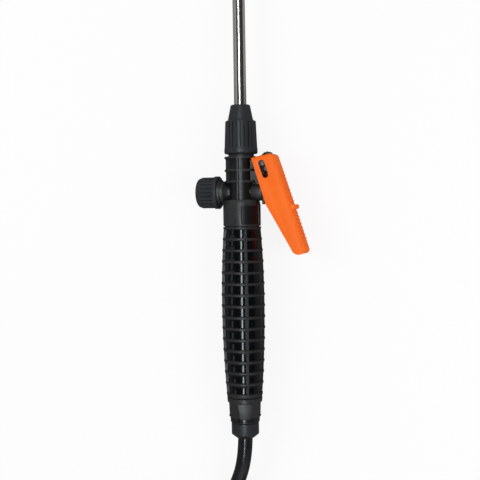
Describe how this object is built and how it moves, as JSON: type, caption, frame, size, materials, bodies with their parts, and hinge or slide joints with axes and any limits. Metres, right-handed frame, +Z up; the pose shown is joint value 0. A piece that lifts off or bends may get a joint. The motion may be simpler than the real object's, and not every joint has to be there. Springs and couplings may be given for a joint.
{
  "type": "garden sprayer hand lance",
  "caption": "Hand lance for a pressure or backpack sprayer: trigger valve with lever and lock, ringed grip, bent steel tube with adjustable nozzle, coiled hose to the tank.",
  "frame": {"origin": "under the middle of the lance's own box, on the surface it lies on, without the hose", "axes": "+Y along the grip and the straight tube towards the nozzle, +X towards the trigger lever, +Z up"},
  "size_m": [0.1547, 0.8376, 0.0514],
  "materials": {
    "moulding_black": "fine moulded satin",
    "nut_black": "smooth moulded, ribbed",
    "grip_black": "smooth semi-gloss",
    "fitting_black": "smooth semi-gloss",
    "lever_orange": "moulded satin gloss",
    "ferrule_white": "natural acetal",
    "seal_rubber": "nitrile",
    "lance_steel": "drawn stainless",
    "pin_steel": "turned",
    "spring_steel": "drawn stainless",
    "mesh_steel": "woven screen",
    "brass_parts": "turned",
    "hose_pvc": "extruded gloss",
    "tie_nylon": "nylon strap"
  },
  "bodies": {
    "root": {"valve_body": "moulding_black", "lance_ferrule": "ferrule_white", "lance_seal": "seal_rubber", "lance_tube": "lance_steel", "pivot_pin": "pin_steel", "valve_spring": "spring_steel", "spindle_seal": "seal_rubber", "spindle_gland": "moulding_black", "cap_gasket": "seal_rubber", "grip": "grip_black", "grip_seal": "seal_rubber", "end_collar": "moulding_black", "hose_fitting": "fitting_black", "strainer_frame": "ferrule_white", "strainer_mesh": "mesh_steel", "tip_ferrule": "ferrule_white", "nozzle_body": "moulding_black", "swirl_core": "ferrule_white", "nozzle_seal": "seal_rubber", "hose": "hose_pvc", "hose_coil": "hose_pvc", "hose_tie": "tie_nylon", "tank_tail": "fitting_black", "tank_washer": "seal_rubber"},
    "lance_nut": {"lance_nut": "nut_black"},
    "trigger": {"trigger_lever": "lever_orange"},
    "lock": {"lock_slide": "moulding_black"},
    "spindle": {"spindle": "brass_parts", "valve_disc": "brass_parts", "seat_washer": "seal_rubber"},
    "valve_cap": {"valve_cap": "nut_black"},
    "hose_nut": {"hose_nut": "nut_black"},
    "tip_nut": {"tip_nut": "nut_black"},
    "nozzle_cap": {"nozzle_cap": "brass_parts"},
    "tank_nut": {"tank_nut": "nut_black"}
  },
  "joints": [
    {"name": "trigger_pivot", "type": "hinge", "parent": "root", "child": "trigger", "pos_m": [0.01061, -0.09171, 0.0177], "axis": [0, 0, 1], "range_deg": [-15, 0], "stiffness_Nm_per_rad": 2, "springref_deg": 6.88},
    {"name": "spindle_push", "type": "slide", "parent": "root", "child": "spindle", "axis": [1, 0, 0], "range_m": [-0.00646, 0], "deforming": ["valve_spring"]},
    {"name": "lock_travel", "type": "slide", "parent": "trigger", "child": "lock", "axis": [0.3156, -0.9489, 0], "range_m": [0, 0.0045]},
    {"name": "lance_nut_turn", "type": "hinge", "parent": "root", "child": "lance_nut", "pos_m": [-0.00899, -0.06431, 0.0177], "axis": [0, 1, 0], "range_deg": [-360, 0]},
    {"name": "valve_cap_turn", "type": "hinge", "parent": "root", "child": "valve_cap", "pos_m": [-0.03899, -0.11431, 0.0177], "axis": [-1, 0, 0], "range_deg": [0, 360]},
    {"name": "hose_nut_turn", "type": "hinge", "parent": "root", "child": "hose_nut", "pos_m": [-0.00899, -0.30631, 0.0177], "axis": [0, -1, 0], "range_deg": [0, 360]},
    {"name": "tip_nut_turn", "type": "hinge", "parent": "root", "child": "tip_nut", "pos_m": [0.00382, 0.28631, 0.01401], "axis": [-0.6177, -0.766, 0.1778], "range_deg": [0, 360]},
    {"name": "nozzle_cap_turn", "type": "hinge", "parent": "root", "child": "nozzle_cap", "pos_m": [0.01617, 0.30163, 0.01046], "axis": [0.6177, 0.766, -0.1778], "range_deg": [-180, 360]},
    {"name": "tank_nut_swivel", "type": "hinge", "parent": "root", "child": "tank_nut", "pos_m": [0.05957, -0.45532, 0.03842], "axis": [0.279, 0.9603, 0], "continuous": true}
  ],
  "couplings": [
    {"joint": "spindle_push", "follows": "trigger_pivot", "m_per_rad": 0.0246}
  ]
}
